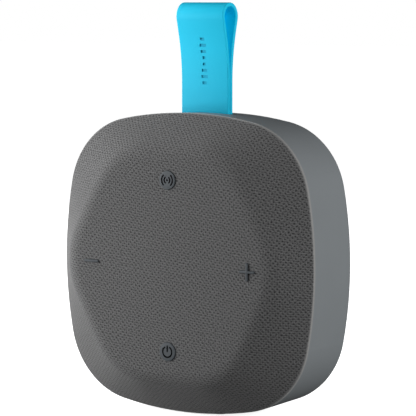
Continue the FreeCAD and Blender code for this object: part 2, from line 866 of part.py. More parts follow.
def driver_cone():
    edge = driver_d + 0.3
    return turned([(cone_edge_radius, edge), (cone_edge_radius, edge + cone_skin),
                   (coil_radius + 0.8, neck_d), (coil_radius, neck_d),
                   (coil_radius, neck_d - cone_skin), (coil_radius + 0.6, neck_d - cone_skin),
                   (cone_edge_radius - 0.8, edge)])


def dust_cap():
    """A shallow dome glued over the neck."""
    base, rise = neck_d - cone_skin - 0.05, 3.0
    width = coil_radius + 0.3

    def ball(reach, tall):
        radius = (reach ** 2 + tall ** 2) / (2 * tall)
        sphere = Part.makeSphere(radius, at(0, base + radius - tall, 0))
        return sphere.common(rod(0, 0, base - tall - 1, base, reach + 1))

    return ball(width, rise).cut(ball(width - 0.4, rise - 0.4))


def cone_surround():
    return half_roll(cone_edge_radius, basket_radius - 0.5, driver_d + 0.3, roll_height,
                     roll_skin)


def basket_inner(d):
    """Radius of the basket's inside at that depth."""
    share = (d - driver_seat_d + basket_wall / 2) / (basket_depth - basket_wall / 2)
    return basket_radius - 0.4 - share * (basket_radius - basket_foot_radius)


def cone_spider():
    """The corrugated disc that centres the coil."""
    mid = basket_foot_d - 2.35
    inner, outer, waves = coil_radius, basket_inner(mid + 0.35) - running, 3
    step = (outer - inner) / (2 * waves)
    top = [(inner + step * i, mid - 0.4 * (i % 2)) for i in range(2 * waves + 1)]
    bottom = [(r, d + 0.35) for r, d in reversed(top)]
    return turned(top + bottom)


def driver_terminals():
    """Two solder tags on a small board against the basket's side."""
    front, back = driver_seat_d + tag_board_front, driver_seat_d + tag_board_back
    board = block(tag_x, tag_x + 3.8, front, back, -17, -8)
    inside = turned([(0, driver_seat_d), (basket_inner(driver_seat_d), driver_seat_d),
                     (basket_inner(basket_foot_d), basket_foot_d), (0, basket_foot_d)])
    board = board.cut(inside).cut(driver_frame())
    tags = [block(tag_x - tag_length, tag_x, front, back, h - 1, h + 1) for h in tag_heights]
    return [join(board, *tags)]


# ---- Passive radiator ----
def radiator_frame():
    plate = tube(0, 0, radiator_seat_d - radiator_frame_thickness, radiator_seat_d,
                 radiator_frame_radius, radiator_seat_radius)
    for x, h in around(4, radiator_screw_circle, math.pi / 4):
        plate = plate.cut(rod(x, h, radiator_front_d - 2, radiator_seat_d + 1,
                              small_screw[0] + hole_slip))
    return plate


def radiator_surround():
    return half_roll(radiator_plate_radius, radiator_seat_radius,
                     radiator_seat_d - radiator_frame_thickness + 0.8, radiator_roll_height,
                     roll_skin)


def radiator_plate():
    plate = rod(0, 0, radiator_front_d, radiator_back_d, radiator_plate_radius)
    rims = [e for e in plate.Edges if e.Length > radiator_plate_radius]
    return plate.makeChamfer(0.3, rims)


# ---- Feet ----
def foot_strip():
    bar = foot_shape(0, -body_half - foot_proud, -body_half + foot_recess)
    low = [e for e in bar.Edges if e.BoundBox.ZMax < centre_z - body_half - foot_proud + 0.01]
    return bar.makeFillet(0.4, low)


def back_pads():
    pads = []
    for x, h in corners(boss_x, boss_h):
        pad = rod(x, h, band_depth - pad_recess, band_depth + pad_proud, pad_radius)
        rim = [e for e in pad.Edges if e.BoundBox.YMin > seam_y + band_depth + pad_proud - 0.01]
        pads.append(pad.makeFillet(0.35, rim))
    return pads


# ---- Strap ----
strap_axis_h = body_half + strap_half + strap_lift
strap_top_h = body_half + strap_height


def strap_side(side, offset):
    """Edges up one layer of the band: straight, sweep, lean, and a quarter of the loop.

    offset moves the edge outwards from the middle of the band; side is -1 for the front."""
    lean = math.radians(loop_lean)
    centre_h = strap_top_h - loop_radius - strap_skin / 2
    middle = strap_half - strap_skin / 2
    crown = loop_radius + offset
    sweep = loop_sweep - offset
    loop_foot = (crown * math.cos(lean), centre_h - crown * math.sin(lean))
    run = loop_radius * math.cos(lean) - middle - loop_sweep * (1 - math.cos(lean))
    drop = run / math.tan(lean)
    sweep_top_h = centre_h - loop_radius * math.sin(lean) - drop
    sweep_base_h = sweep_top_h - loop_sweep * math.sin(lean)
    base = (middle + offset, sweep_base_h)
    sweep_centre = (middle + loop_sweep, sweep_base_h)
    sweep_end = (sweep_centre[0] - sweep * math.cos(lean),
                 sweep_base_h + sweep * math.sin(lean))
    sweep_mid = (sweep_centre[0] - sweep * math.cos(lean / 2),
                 sweep_base_h + sweep * math.sin(lean / 2))

    def spot(point):
        return at(0, strap_d + side * point[0], point[1])

    crown_mid = (crown * math.cos((math.pi / 2 - lean) / 2),
                 centre_h + crown * math.sin((math.pi / 2 - lean) / 2))
    crown_top = (0, centre_h + crown)
    return base, [Part.Arc(spot(base), spot(sweep_mid), spot(sweep_end)).toShape(),
                  Part.makeLine(spot(sweep_end), spot(loop_foot)),
                  Part.Arc(spot(loop_foot), spot(crown_mid), spot(crown_top)).toShape()]


def strap_outline(offset, foot_h, foot_bow):
    """The closed outline of the doubled band, seen from the side."""
    base, front = strap_side(-1, offset)
    _, rear = strap_side(1, offset)
    feet = [at(0, strap_d + side * base[0], foot_h) for side in (-1, 1)]
    rises = [Part.makeLine(foot, at(0, strap_d + side * base[0], base[1]))
             for foot, side in zip(feet, (-1, 1))]
    if foot_bow > 0:
        close = Part.Arc(feet[0], at(0, strap_d, foot_h - foot_bow), feet[1]).toShape()
    else:
        close = Part.makeLine(*feet)
    return Part.Face(Part.Wire(Part.__sortEdges__(front + rear + rises + [close])))


def strap_loop():
    outer = strap_outline(strap_skin / 2, strap_axis_h, strap_half)
    inner = strap_outline(-strap_skin / 2, strap_axis_h + 2.5, 0)
    band = outer.extrude(RIGHT * strap_width).cut(inner.extrude(RIGHT * strap_width))
    band.translate(FreeCAD.Vector(-strap_width / 2, 0, 0))
    return band


eye_radius = eye_pin_radius + strap_skin
eye_h = body_half - shell_wall - 1.0 - eye_radius


def strap_tail():
    """The doubled end below the bend, closed round the anchor pin."""
    top = strap_axis_h - strap_half - running
    half = strap_width / 2
    leaf = block(-half, half, strap_d - strap_half, strap_d + strap_half, eye_h, top)
    eye = rod_along_x(-half, half, strap_d, eye_h, eye_radius)
    return join(leaf, eye).cut(rod_along_x(-half - 1, half + 1, strap_d, eye_h,
                                           eye_pin_radius))


def strap_pin():
    reach = strap_width / 2 + housing_wall + 1.2
    return rod_along_x(-reach, reach, strap_d, eye_h, eye_pin_radius)


def housing_block(grow):
    """The outside of the strap's housing, from its floor to above the case."""
    half_x = strap_width / 2 + 1.2 + housing_wall + grow
    half_d = eye_radius + 0.6 + housing_wall + grow
    return block(-half_x, half_x, strap_d - half_d, strap_d + half_d,
                 body_half - housing_depth - grow, body_half + 1)


def strap_housing():
    """A cup welded under the slot, which holds the pin and keeps water out."""
    cup = housing_block(0).common(tapered(shell_wall + slip, 0, band_depth))
    return cup.cut(housing_block(-housing_wall)).cut(strap_pin())


# ---- Port ----
def port_door():
    """The door: a plate flush with the side, with a knuckle on a steel pin at its top."""
    plate = door_outline(0, -body_half - 5, recess_floor_x - slip)
    skin = tapered(0, -2, band_depth).common(plate)
    knuckle = Part.makeCylinder(knuckle_radius, door_width,
                                at(door_axis_x, port_d - door_width / 2, door_axis_h), BACK)
    bore = Part.makeCylinder(door_pin_radius + running, door_width + 2,
                             at(door_axis_x, port_d - door_width / 2 - 1, door_axis_h), BACK)
    lift = Part.makeCylinder(lift_radius, 4, at(-body_half + 0.4, port_d - 2,
                                                -door_length / 2 - 0.7), BACK)
    return join(skin, knuckle).cut(bore).cut(lift)


def port_door_pin():
    return Part.makeCylinder(door_pin_radius, door_width + 3,
                             at(door_axis_x, port_d - door_width / 2 - 1.5, door_axis_h), BACK)


def port_seal():
    """The silicone plug on the inside of the door."""
    return round_slot_x(socket_width + seal_lip, socket_height + seal_lip,
                        recess_floor_x - slip, recess_floor_x - slip + seal_depth)


def usb_socket():
    """The socket's steel shell with its tongue."""
    mouth = recess_floor_x + socket_setback
    can = round_slot_x(socket_width, socket_height, mouth, mouth + socket_length)
    well = round_slot_x(socket_width - 2 * socket_skin, socket_height - 2 * socket_skin,
                        mouth - 1, mouth + socket_length - 1.2)
    tongue = block(mouth + 0.6, mouth + socket_length - 1, port_d - tongue_half,
                   port_d + tongue_half, -tongue_reach, tongue_reach)
    return join(can.cut(well), tongue)


# ---- Main board ----
def main_board():
    board = block(board_left, board_right, board_d, board_back_d, board_bottom, board_top)
    upright = [e for e in board.Edges if abs(e.tangentAt(e.FirstParameter).y) > 0.9]
    board = board.makeFillet(1.5, upright)
    for x, h in BOARD_POSTS:
        board = board.cut(rod(x, h, board_d - 1, board_back_d + 1, small_screw[0] + hole_slip))
    return board


# x, h, width, height and thickness of each chip: radio, amplifier, memory, two crystals
MAIN_BOARD_CHIPS = [(-33, 4, 8, 8, 1.0), (-29, -8, 5, 5, 0.9), (-41, -3, 4, 4, 0.8),
                    (-29, 14, 2.2, 3.4, 1.0), (-34, 14, 2.2, 3.4, 1.0)]


def main_board_parts():
    """Radio chip, amplifier, inductor, capacitors and connectors, on both faces."""
    back = board_back_d
    parts = [block(x - w / 2, x + w / 2, back, back + tall, h - v / 2, h + v / 2)
             for x, h, w, v, tall in MAIN_BOARD_CHIPS]
    coil = block(-40, -34, back, back + 3.0, -15, -9)
    parts.append(coil.makeFillet(0.6, coil.Edges))
    parts += [rod(x, -15, back, back + capacitor_height, capacitor_radius)
              for x in (-30.5, -25)]
    parts.append(block(-ribbon_x + ribbon_skin, clamp_end_x, board_d - clamp_height, board_d,
                       ribbon_h - 5, ribbon_h + 5))
    parts.append(block(-26.5, -22.5, board_d - plug_height, board_d, -14, -8))
    parts.append(block(-35, -28, board_d - plug_height, board_d, board_bottom,
                       board_bottom + 4))
    return parts


# ---- Battery ----
cell_h = cell_clear + cell_radius - side_reach(cell_length / 2, band_depth, shell_wall)


def battery_cell():
    half = cell_length / 2
    can = rod_along_x(-half, half - 1.2, cell_d, cell_h, cell_radius)
    return join(can, rod_along_x(half - 1.3, half, cell_d, cell_h, 3.0))


def battery_cradle():
    """Two saddles under the cell, on a common base on the back wall."""
    half = cell_length / 2
    saddles = [block(x - 2, x + 2, cell_d + 2, back_inner_d, cell_h - cell_radius - 1.2,
                     cell_h + cell_radius + 1.2) for x in (-half + 10, half - 10)]
    hollow = rod_along_x(-half - 1, half + 1, cell_d, cell_h, cell_radius + slip)
    return [s.cut(hollow) for s in saddles]


def bent_lead(points, radius):
    """A round lead along straight runs joined by the largest tangent arcs they allow."""
    edges, here = [], points[0]
    for before, corner, after in zip(points, points[1:], points[2:]):
        back, ahead = before - corner, after - corner
        half_turn = (math.pi - back.getAngle(ahead)) / 2
        reach = 0.45 * min(back.Length, ahead.Length)
        start = corner + back.normalize() * reach
        end = corner + ahead.normalize() * reach
        bend = reach / math.tan(half_turn)
        print("lead bend radius", round(bend, 2))
        inwards = (start + end) * 0.5 - corner
        depth = math.hypot(bend, reach) - bend
        middle = corner + inwards.normalize() * depth
        edges += [Part.makeLine(here, start), Part.Arc(start, middle, end).toShape()]
        here = end
    edges.append(Part.makeLine(here, points[-1]))
    path = Part.Wire(edges)
    first = points[1] - points[0]
    ring_edge = Part.makeCircle(radius, points[0], first)
    return path.makePipeShell([Part.Wire([ring_edge])], True, False)


def driver_leads():
    """Two leads from the driver's tags to the connector on the board."""
    leads = []
    tag_d = driver_seat_d + (tag_board_front + tag_board_back) / 2
    for h, socket_h in zip(tag_heights, (-12.5, -9.5)):
        leads.append(bent_lead([at(tag_x - tag_length, tag_d, h),
                                at(-24.0, tag_d, h),
                                at(-24.5, driver_seat_d + 10.0, socket_h),
                                at(-24.5, board_d - plug_height, socket_h)], lead_radius))
    return leads


def battery_leads():
    """Two leads from the side of the cell to the lower connector on the board."""
    skin = cell_radius * math.sqrt(0.5)
    leads = []
    for cell_x, board_x in ((-28.5, -30), (-31, -33)):
        leads.append(bent_lead([at(cell_x, cell_d - skin, cell_h + skin),
                                at(cell_x, cell_d - skin - 1.8, cell_h + skin + 1.8),
                                at(board_x, board_d - 1.7, board_bottom - 4.2),
                                at(board_x, board_d - 1.7, board_bottom)], lead_radius))
    return leads


# ---- Write the parts ----
def as_solids(made):
    return Part.makeCompound(made) if isinstance(made, list) else made


NODES = {
    "fabric_cover": fabric_cover,
    "grille_frame": grille_frame,
    "rear_shell": rear_shell,
    "rear_grille": rear_grille,
    "mid_frame": mid_frame,
    "case_gasket": case_gasket,
    "case_screws": case_screws,
    "foot_strip": foot_strip,
    "back_pads": back_pads,
    "key_board": key_board,
    "key_board_parts": key_board_parts,
    "key_board_screws": key_board_screws,
    "ribbon_cable": ribbon_cable,
    "driver_frame": driver_frame,
    "driver_gasket": driver_gasket,
    "driver_top_plate": top_plate,
    "driver_magnet": lambda: tube(0, 0, magnet_d, yoke_d, magnet_radius, magnet_bore),
    "driver_yoke": driver_yoke,
    "voice_coil": voice_coil,
    "driver_cone": driver_cone,
    "dust_cap": dust_cap,
    "cone_surround": cone_surround,
    "cone_spider": cone_spider,
    "driver_terminals": driver_terminals,
    "driver_screws": driver_screws,
    "driver_leads": driver_leads,
    "radiator_frame": radiator_frame,
    "radiator_surround": radiator_surround,
    "radiator_plate": radiator_plate,
    "radiator_screws": radiator_screws,
    "strap_loop": strap_loop,
    "strap_tail": strap_tail,
    "strap_pin": strap_pin,
    "strap_housing": strap_housing,
    "port_door": port_door,
    "port_door_pin": port_door_pin,
    "port_seal": port_seal,
    "usb_socket": usb_socket,
    "main_board": main_board,
    "main_board_parts": main_board_parts,
    "board_screws": board_screws,
    "battery_cell": battery_cell,
    "battery_cradle": battery_cradle,
    "battery_leads": battery_leads,
}

os.makedirs("parts", exist_ok=True)
for name, make in NODES.items():
    as_solids(make()).exportStep("parts/" + name + ".step")
for name, (x, h, key) in KEYS.items():
    moved(key, x, h).exportStep("parts/key_" + name + ".step")
    moved(switch_body(), x, h).exportStep("parts/switch_" + name + ".step")
    moved(plunger(), x, h).exportStep("parts/plunger_" + name + ".step")
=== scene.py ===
import json
import math

import bmesh
import bpy
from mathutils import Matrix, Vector


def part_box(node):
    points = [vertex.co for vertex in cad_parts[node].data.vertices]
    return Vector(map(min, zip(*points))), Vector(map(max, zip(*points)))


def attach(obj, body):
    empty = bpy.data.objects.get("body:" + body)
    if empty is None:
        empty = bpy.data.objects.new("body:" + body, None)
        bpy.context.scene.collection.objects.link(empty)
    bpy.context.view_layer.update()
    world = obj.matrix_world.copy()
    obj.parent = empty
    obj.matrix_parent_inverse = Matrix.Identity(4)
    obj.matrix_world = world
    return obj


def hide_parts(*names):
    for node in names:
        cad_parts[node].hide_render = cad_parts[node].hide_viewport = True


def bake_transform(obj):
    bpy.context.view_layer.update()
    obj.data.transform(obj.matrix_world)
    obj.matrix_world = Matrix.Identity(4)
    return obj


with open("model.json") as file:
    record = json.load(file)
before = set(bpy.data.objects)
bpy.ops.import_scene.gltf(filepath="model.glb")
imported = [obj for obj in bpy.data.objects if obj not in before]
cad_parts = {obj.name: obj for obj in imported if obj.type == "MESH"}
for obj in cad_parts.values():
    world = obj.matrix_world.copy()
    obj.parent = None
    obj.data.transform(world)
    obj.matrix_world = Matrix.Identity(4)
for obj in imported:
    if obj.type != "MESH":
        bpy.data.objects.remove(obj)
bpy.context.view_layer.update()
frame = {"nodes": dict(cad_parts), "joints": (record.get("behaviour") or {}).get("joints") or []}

# ---- Viewpoint, floor and studio light ----
# The speaker stands on a plain white sweep. Soft lights on the left, nearer on the front
# left and on the right leave the facets at different greys; one behind lights the back.
MM = 0.001
fabric_low, fabric_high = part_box("fabric_cover")
seam_y = fabric_high.y
centre = Vector((0.0, seam_y, (fabric_low.z + fabric_high.z) / 2))
view_azimuth = math.radians(34.81)
view_elevation = math.radians(6.19)
view_distance = 0.893
view_lens = 211.3
aim_right = 0.008417     # slope of the aim to the right of the case's centre
aim_up = 0.022565        # and above it
bounce = 0.03            # the white surround's light on the speaker
floor_half = 6.0
floor_white = (0.86, 0.86, 0.87, 1)   # as seen
floor_dim = (0.16, 0.16, 0.16, 1)     # as a reflector
glow_near, glow_far = 0.84, 1.0       # the seen floor's own light
glow_start, glow_end = 0.12, 0.5      # and how far out it rises

away = Vector((math.sin(view_azimuth) * math.cos(view_elevation),
               -math.cos(view_azimuth) * math.cos(view_elevation),
               math.sin(view_elevation)))
ahead = -away
right = ahead.cross(Vector((0, 0, 1))).normalized()
upward = right.cross(ahead)
camera_data = bpy.data.cameras.new("viewpoint")
camera_data.lens = view_lens
camera_data.sensor_width = 36.0
camera_data.clip_start = 0.05
camera_data.clip_end = 50.0
camera = bpy.data.objects.new("viewpoint", camera_data)
bpy.context.scene.collection.objects.link(camera)
camera.location = centre + away * view_distance
aim = (ahead + right * aim_right + upward * aim_up).normalized()
camera.rotation_euler = aim.to_track_quat("-Z", "Y").to_euler()
bpy.context.scene.camera = camera


def softbox(name, azimuth, elevation, distance, size, power):
    """A square soft light aimed at the case; azimuth 0 is in front, 90 on the right."""
    turn, lift = math.radians(azimuth), math.radians(elevation)
    towards = Vector((math.sin(turn) * math.cos(lift), -math.cos(turn) * math.cos(lift),
                      math.sin(lift)))
    data = bpy.data.lights.new(name, "AREA")
    data.shape = "SQUARE"
    data.size = size
    data.energy = power
    lamp = bpy.data.objects.new(name, data)
    bpy.context.scene.collection.objects.link(lamp)
    lamp.location = centre + towards * distance
    lamp.rotation_euler = (-towards).to_track_quat("-Z", "Y").to_euler()


softbox("left_softbox", azimuth=-82, elevation=24, distance=0.9, size=0.5, power=6.0)
softbox("near_softbox", azimuth=-50, elevation=7, distance=0.42, size=0.3, power=3.02)
softbox("right_softbox", azimuth=88, elevation=14, distance=0.9, size=0.4, power=7.4)
softbox("back_softbox", azimuth=-122, elevation=4, distance=0.9, size=0.3, power=3.5)


def node(tree, kind, **inputs):
    """Adds a shader node; keyword values set its inputs, where _ stands for a space."""
    made = tree.nodes.new(kind)
    for key, value in inputs.items():
        made.inputs[key.replace("_", " ")].default_value = value
    return made


world = bpy.data.worlds.new("studio")
world.use_nodes = True
bpy.context.scene.world = world
background = world.node_tree.nodes["Background"]
background.inputs["Color"].default_value = (1, 1, 1, 1)
seen_ray = node(world.node_tree, "ShaderNodeLightPath").outputs["Is Camera Ray"]
surround = node(world.node_tree, "ShaderNodeMapRange", To_Min=bounce, To_Max=1.0)
world.node_tree.links.new(seen_ray, surround.inputs["Value"])
world.node_tree.links.new(surround.outputs["Result"], background.inputs["Strength"])

floor_mesh = bpy.data.meshes.new("floor")
corners = [(x * floor_half, y * floor_half, 0)
           for x, y in ((-1, -1), (1, -1), (1, 1), (-1, 1))]
floor_mesh.from_pydata(corners, [], [(0, 1, 2, 3)])
floor = bpy.data.objects.new("floor", floor_mesh)
bpy.context.scene.collection.objects.link(floor)
floor_finish = bpy.data.materials.new("white_sweep")
floor_finish.use_nodes = True
tree = floor_finish.node_tree
tree.nodes.clear()
out = node(tree, "ShaderNodeOutputMaterial")
seen = node(tree, "ShaderNodeBsdfDiffuse", Color=floor_white)
glow = node(tree, "ShaderNodeEmission", Color=(1, 1, 1, 1))
spot = tree.nodes.new("ShaderNodeTexCoord")
reach = tree.nodes.new("ShaderNodeVectorMath")
reach.operation = "LENGTH"
tree.links.new(spot.outputs["Object"], reach.inputs[0])
rise = node(tree, "ShaderNodeMapRange", From_Min=glow_start, From_Max=glow_end,
            To_Min=glow_near, To_Max=glow_far)
tree.links.new(reach.outputs["Value"], rise.inputs["Value"])
tree.links.new(rise.outputs[0], glow.inputs["Strength"])
both = node(tree, "ShaderNodeAddShader")
dim = node(tree, "ShaderNodeBsdfDiffuse", Color=floor_dim)
pick = node(tree, "ShaderNodeMixShader")
path = node(tree, "ShaderNodeLightPath")
tree.links.new(seen.outputs[0], both.inputs[0])
tree.links.new(glow.outputs[0], both.inputs[1])
tree.links.new(path.outputs["Is Camera Ray"], pick.inputs[0])
tree.links.new(dim.outputs[0], pick.inputs[1])
tree.links.new(both.outputs[0], pick.inputs[2])
tree.links.new(pick.outputs[0], out.inputs["Surface"])
floor_mesh.materials.append(floor_finish)
bpy.context.scene.view_settings.view_transform = "Standard"

# ---- Fabric cover ----
# A knitted polyester cloth, stretched over the six-sided raised face and rolled over the
# rim down to the seam, with four windows for the keys. It is glued to the grille frame.
body_half = (fabric_high.x - fabric_low.x) / 2
dome_depth = seam_y - fabric_low.y
side_radius = 150.0 * MM
corner_radius = 30.0 * MM
face_apothem = 41.4 * MM
face_corner_radius = 22.0 * MM
face_edge_radius = 10.0 * MM
rim_wall = 0.9 * MM
rim_roll = 0.7 * MM
cloth_thickness = 0.6 * MM
key_height = 31.2 * MM
key_side = 34.3 * MM
key_radius = 3.4 * MM
sign_length = 6.4 * MM
sign_width = 0.85 * MM
sign_corner = 0.3 * MM
key_air = 0.12 * MM            # between a key and the cut edge of the cloth
least_roll = 0.08 * MM
flat_steps, edge_steps, slope_steps, roll_steps = 16, 8, 14, 6   # along one spoke
spokes = 240                   # points round each ring of the cloth
rising_ribs = (0.609, 0.531)   # ribs for each millimetre across and up the cloth
falling_ribs = (0.484, -0.566)
thread_grey = (0.128, 0.128, 0.129)
hole_grey = (0.015, 0.015, 0.0155)
rim_highlight_grey = (0.230, 0.230, 0.228)   # painted highlight on the cloth's edge at the seam
highlight_start, highlight_full = 1.3 * MM, 0.8 * MM   # where the painted highlight begins and where it is full, in front of the seam
rising_share = 0.22            # strength of the rising ribs in the weave
# of the falling ribs, the crossings, the uprights and the split ribs: shift and strength
falling_wave, crossed_wave, upright_wave, twice_wave = ((0.0, 0.15), (-2.46, 0.24),
                                                        (-2.66, 0.12), (2.17, 0.12))
weave_low, weave_high = -0.95, 0.75   # of a hole and of full thread
pull_scale, pull_size = 420.0, 0.7 * MM      # how the ribs wander
uneven_scale, uneven_share = 1700.0, 2.3     # and how unevenly they are spun
fibre_scale, fibre_share = 9000.0, 0.25
knit_relief = 0.10 * MM

side_centre = side_radius - body_half
corner_centre = (math.sqrt(2 * (side_radius - corner_radius) ** 2 - side_centre ** 2)
                 - side_centre) / 2
side_angle = math.atan2(corner_centre, corner_centre + side_centre)
face_slope = math.atan2(dome_depth - rim_wall, body_half - face_apothem)


def outline_reach(angle, inset):
    """Distance from the centre to the case's outline in that direction."""
    fold = angle % (math.pi / 2)
    fold = min(fold, math.pi / 2 - fold)
    bend = corner_radius - inset
    joint = math.atan2(corner_centre + bend * math.sin(side_angle),
                       corner_centre + bend * math.cos(side_angle))
    if fold <= joint:
        radius = side_radius - inset
        return (math.sqrt(radius ** 2 - (side_centre * math.sin(fold)) ** 2)
                - side_centre * math.cos(fold))
    along = corner_centre * (math.cos(fold) + math.sin(fold))
    across = corner_centre * (math.cos(fold) - math.sin(fold))
    return along + math.sqrt(bend ** 2 - across ** 2)


def face_reach(angle, inset):
    """Distance from the centre to the edge of the six-sided face in that direction."""
    sixth = math.pi / 3
    off = abs((angle % sixth) - sixth / 2)
    apothem, bend = face_apothem - inset, face_corner_radius - inset
    if math.tan(off) * apothem <= (apothem - bend) * math.tan(sixth / 2):
        return apothem / math.cos(off)
    middle = (apothem - bend) / math.cos(sixth / 2)
    rest = sixth / 2 - off
    return middle * math.cos(rest) + math.sqrt(bend ** 2 - (middle * math.sin(rest)) ** 2)


def cloth_section(angle, inset):
    """(reach, depth behind the seam) of one spoke, from the centre to the seam."""
    top = inset - dome_depth
    rim = inset * math.tan(math.pi / 4 - face_slope / 2) - rim_wall
    start = face_reach(angle, inset * math.tan(face_slope / 2))
    end = outline_reach(angle, inset)
    slope = math.atan2(rim - top, end - start)
    soft = face_edge_radius - inset
    foot = start - soft * math.tan(slope / 2)
    points = [(foot * step / flat_steps, top) for step in range(1, flat_steps)]
    for step in range(edge_steps + 1):
        turn = slope * step / edge_steps
        points.append((foot + soft * math.sin(turn), top + soft * (1 - math.cos(turn))))
    roll = max(rim_roll - inset, least_roll)
    drop = roll * math.tan((math.pi / 2 - slope) / 2)
    last = points[-1]
    edge = (end - roll + roll * math.sin(slope), rim + drop - roll * math.cos(slope))
    for step in range(1, slope_steps):
        share = step / slope_steps
        points.append((last[0] + (edge[0] - last[0]) * share,
                       last[1] + (edge[1] - last[1]) * share))
    for step in range(roll_steps + 1):
        turn = slope + (math.pi / 2 - slope) * step / roll_steps
        points.append((end - roll + roll * math.sin(turn), rim + drop - roll * math.cos(turn)))
    base = points[-1][1]
    return points + [(end, base * (1 - step / 2)) for step in (1, 2)]


def solid(name, vertices, faces):
    """A mesh object with its faces turned outwards."""
    mesh = bpy.data.meshes.new(name)
    mesh.from_pydata(vertices, [], faces)
    shell = bmesh.new()
    shell.from_mesh(mesh)
    bmesh.ops.recalc_face_normals(shell, faces=shell.faces)
    shell.to_mesh(mesh)
    shell.free()
    made = bpy.data.objects.new(name, mesh)
    bpy.context.scene.collection.objects.link(made)
    return made


def prism(name, outline, low, high, place=(0, 0)):
    """A closed outline in the plane of the face, drawn out from one depth to another."""
    count = len(outline)
    points = [(x + place[0], y, z + centre.z + place[1]) for y in (low, high)
              for x, z in outline]
    sides = [(i, (i + 1) % count, (i + 1) % count + count, i + count) for i in range(count)]
    return solid(name, points, [tuple(range(count)), tuple(range(count, 2 * count))] + sides)


def settle(piece):
    """Turns a piece's modifiers into its plain mesh."""
    graph = bpy.context.evaluated_depsgraph_get()
    graph.update()
    mesh = bpy.data.meshes.new_from_object(piece.evaluated_get(graph))
    piece.modifiers.clear()
    piece.data = mesh
    return piece


def carve(piece, cutters):
    """Cuts closed shapes out of a piece and removes them."""
    for cutter in cutters:
        cut = piece.modifiers.new("cut", "BOOLEAN")
        cut.operation = "DIFFERENCE"
        cut.solver = "EXACT"
        cut.object = cutter
    settle(piece)
    for cutter in cutters:
        bpy.data.objects.remove(cutter)
    return piece


def smooth(piece, degrees=35):
    """Smooth shading, with edges sharper than that angle kept crisp."""
    piece.data.shade_smooth()
    piece.data.set_sharp_from_angle(angle=math.radians(degrees))
    return piece


def circle(radius, steps=64):
    turns = [2 * math.pi * i / steps for i in range(steps)]
    return [(radius * math.cos(turn), radius * math.sin(turn)) for turn in turns]


def bar_outline(half_x, half_z, corner, steps=6):
    """A rectangle with rounded corners."""
    points = []
    for quarter, (sx, sz) in enumerate(((1, 1), (-1, 1), (-1, -1), (1, -1))):
        for step in range(steps + 1):
            turn = math.pi / 2 * (quarter + step / steps)
            points.append((sx * (half_x - corner) + corner * math.cos(turn),
                           sz * (half_z - corner) + corner * math.sin(turn)))
    return points


def plus_outline(half, wide, corner, steps=4):
    """A plus sign with rounded tips and a small fillet in each inner corner."""
    points = []
    for quarter in range(4):
        turn = quarter * math.pi / 2
        arm = [(half - corner + corner * math.cos(a), -wide + corner + corner * math.sin(a))
               for a in [math.pi / 2 * (step / steps - 1) for step in range(steps + 1)]]
        arm += [(x, -z) for x, z in reversed(arm)]
        arm.append((wide + corner * 0.5, wide))
        arm.append((wide, wide + corner * 0.5))
        points += [(x * math.cos(turn) - z * math.sin(turn),
                    x * math.sin(turn) + z * math.cos(turn)) for x, z in arm]
    return points


def sign_outline(grow, upright):
    """The outline of the plus or the minus sign, grown by that much."""
    half, wide = sign_length / 2 + grow, sign_width / 2 + grow
    corner = sign_corner + grow
    return plus_outline(half, wide, corner) if upright else bar_outline(half, wide, corner)


def cloth_mesh():
    """The outer and the inner face of the cloth, joined at the seam."""
    angles = [2 * math.pi * i / spokes for i in range(spokes)]
    vertices, flat = [], []
    rings = 0
    for inset in (0, cloth_thickness):
        sections = [cloth_section(a, inset) for a in angles]
        rings = len(sections[0])
        vertices.append((0, seam_y + inset - dome_depth, centre.z))
        flat.append((0, 0))
        for ring in range(rings):
            for angle, points in zip(angles, sections):
                reach, depth = points[ring]
                vertices.append((reach * math.cos(angle), seam_y + depth,
                                 centre.z + reach * math.sin(angle)))
                run = points[0][0] + sum(math.dist(points[i], points[i + 1])
                                         for i in range(ring))
                flat.append((run * math.cos(angle), run * math.sin(angle)))
    half = 1 + rings * spokes
    faces = []
    for base in (0, half):
        for i in range(spokes):
            j = (i + 1) % spokes
            faces.append((base, base + 1 + i, base + 1 + j))
            for ring in range(rings - 1):
                a, b = base + 1 + ring * spokes, base + 1 + (ring + 1) * spokes
                faces.append((a + i, b + i, b + j, a + j))
    rim, inner_rim = half - spokes, 2 * half - spokes
    for i in range(spokes):
        j = (i + 1) % spokes
        faces.append((rim + i, inner_rim + i, inner_rim + j, rim + j))
    piece = solid("fabric_cloth", vertices, faces)
    layout = piece.data.uv_layers.new(name="cloth")
    for loop in piece.data.loops:
        layout.data[loop.index].uv = flat[loop.vertex_index]
    return piece


cloth = cloth_mesh()
window_low, window_high = seam_y - dome_depth - MM, seam_y - dome_depth + 2 * MM
windows = [prism("window", circle(key_radius + key_air), window_low, window_high, (0, side))
           for side in (key_height, -key_height)]
windows.append(prism("window", sign_outline(key_air, True), window_low, window_high,
                     (key_side, 0)))
windows.append(prism("window", sign_outline(key_air, False), window_low, window_high,
                     (-key_side, 0)))
carve(cloth, windows)
smooth(cloth)


def maths(tree, operation, first, second=None):
    """A math node on two sockets or numbers; returns its output."""
    made = tree.nodes.new("ShaderNodeMath")
    made.operation = operation
    for socket, value in zip(made.inputs, (first, second)):
        if value is None:
            continue
        if isinstance(value, (int, float)):
            socket.default_value = value
        else:
            tree.links.new(value, socket)
    return made.outputs[0]


def finish(name, roughness, metallic=0.0):
    """A new material with its principled shader; returns the material, tree and shader."""
    material = bpy.data.materials.new(name)
    material.use_nodes = True
    shader = material.node_tree.nodes["Principled BSDF"]
    shader.inputs["Roughness"].default_value = roughness
    shader.inputs["Metallic"].default_value = metallic
    return material, material.node_tree, shader


def colour_mix(tree, share, first, second):
    """Blends two colours by a share socket."""
    made = tree.nodes.new("ShaderNodeMix")
    made.data_type = "RGBA"
    made.inputs[6].default_value = (*first, 1)
    made.inputs[7].default_value = (*second, 1)
    tree.links.new(share, made.inputs[0])
    return made.outputs[2]


